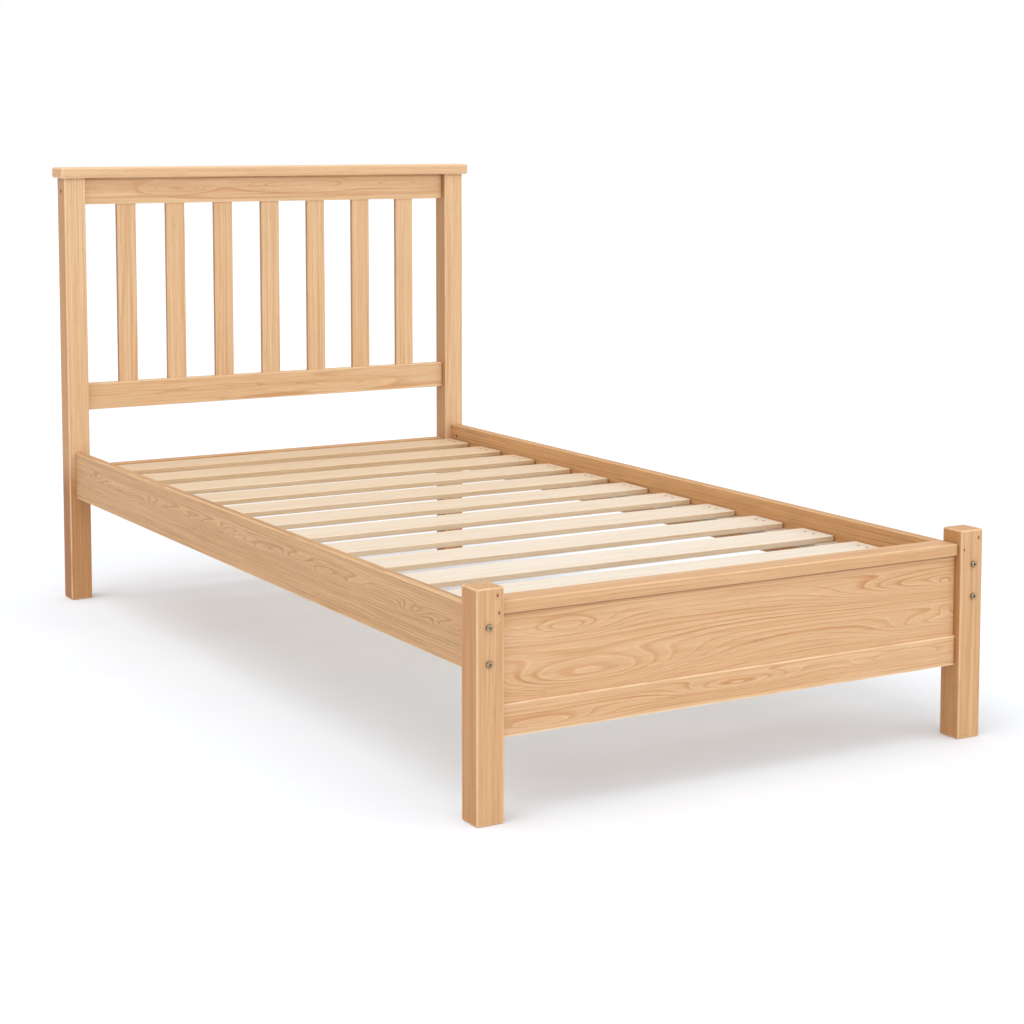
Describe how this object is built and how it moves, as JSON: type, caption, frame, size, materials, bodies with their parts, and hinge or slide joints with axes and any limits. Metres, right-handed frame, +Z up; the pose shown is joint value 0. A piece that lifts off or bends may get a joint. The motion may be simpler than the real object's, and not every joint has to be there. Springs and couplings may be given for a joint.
{
  "type": "bed frame",
  "caption": "Slatted wooden single bed frame with an upright-slat headboard, a low panelled footboard, bolted side rails and a screwed-down slat base.",
  "frame": {"origin": "on the floor, under the middle of the bed's overall box", "axes": "+X across the bed to the right as seen from the foot, +Y along the bed from the foot to the head, +Z up"},
  "size_m": [1.09, 2.0446, 1.033],
  "materials": {
    "frame_wood": "satin clear lacquer on honey-coloured wood",
    "slat_wood": "sanded, unfinished pale wood",
    "bearer_wood": "planed, unfinished wood",
    "dowel_wood": "fluted beech, unfinished",
    "bolt_metal": "aged nickel plate",
    "fixing_steel": "yellowed zinc plate"
  },
  "bodies": {
    "root": {"barrel_nuts_left": "fixing_steel", "barrel_nuts_right": "fixing_steel", "bearer_screws_left": "fixing_steel", "bearer_screws_right": "fixing_steel", "foot_bolts": "bolt_metal", "foot_cap_rail": "frame_wood", "foot_lower_board": "frame_wood", "foot_panel": "frame_wood", "foot_post_left": "frame_wood", "foot_post_right": "frame_wood", "head_bolts": "bolt_metal", "head_bottom_rail": "frame_wood", "head_cap_dowels": "dowel_wood", "head_cap_rail": "frame_wood", "head_lower_rail": "frame_wood", "head_post_left": "frame_wood", "head_post_right": "frame_wood", "head_rail_screws": "fixing_steel", "head_upper_rail": "frame_wood", "headboard_slat_1": "frame_wood", "headboard_slat_2": "frame_wood", "headboard_slat_3": "frame_wood", "headboard_slat_4": "frame_wood", "headboard_slat_5": "frame_wood", "headboard_slat_6": "frame_wood", "headboard_slat_7": "frame_wood", "mattress_slat_01": "slat_wood", "mattress_slat_02": "slat_wood", "mattress_slat_03": "slat_wood", "mattress_slat_04": "slat_wood", "mattress_slat_05": "slat_wood", "mattress_slat_06": "slat_wood", "mattress_slat_07": "slat_wood", "mattress_slat_08": "slat_wood", "mattress_slat_09": "slat_wood", "mattress_slat_10": "slat_wood", "mattress_slat_11": "slat_wood", "mattress_slat_12": "slat_wood", "side_rail_dowels": "dowel_wood", "side_rail_left": "frame_wood", "side_rail_right": "frame_wood", "slat_bearer_left": "bearer_wood", "slat_bearer_right": "bearer_wood", "slat_screws_left": "fixing_steel", "slat_screws_right": "fixing_steel"}
  },
  "joints": []
}
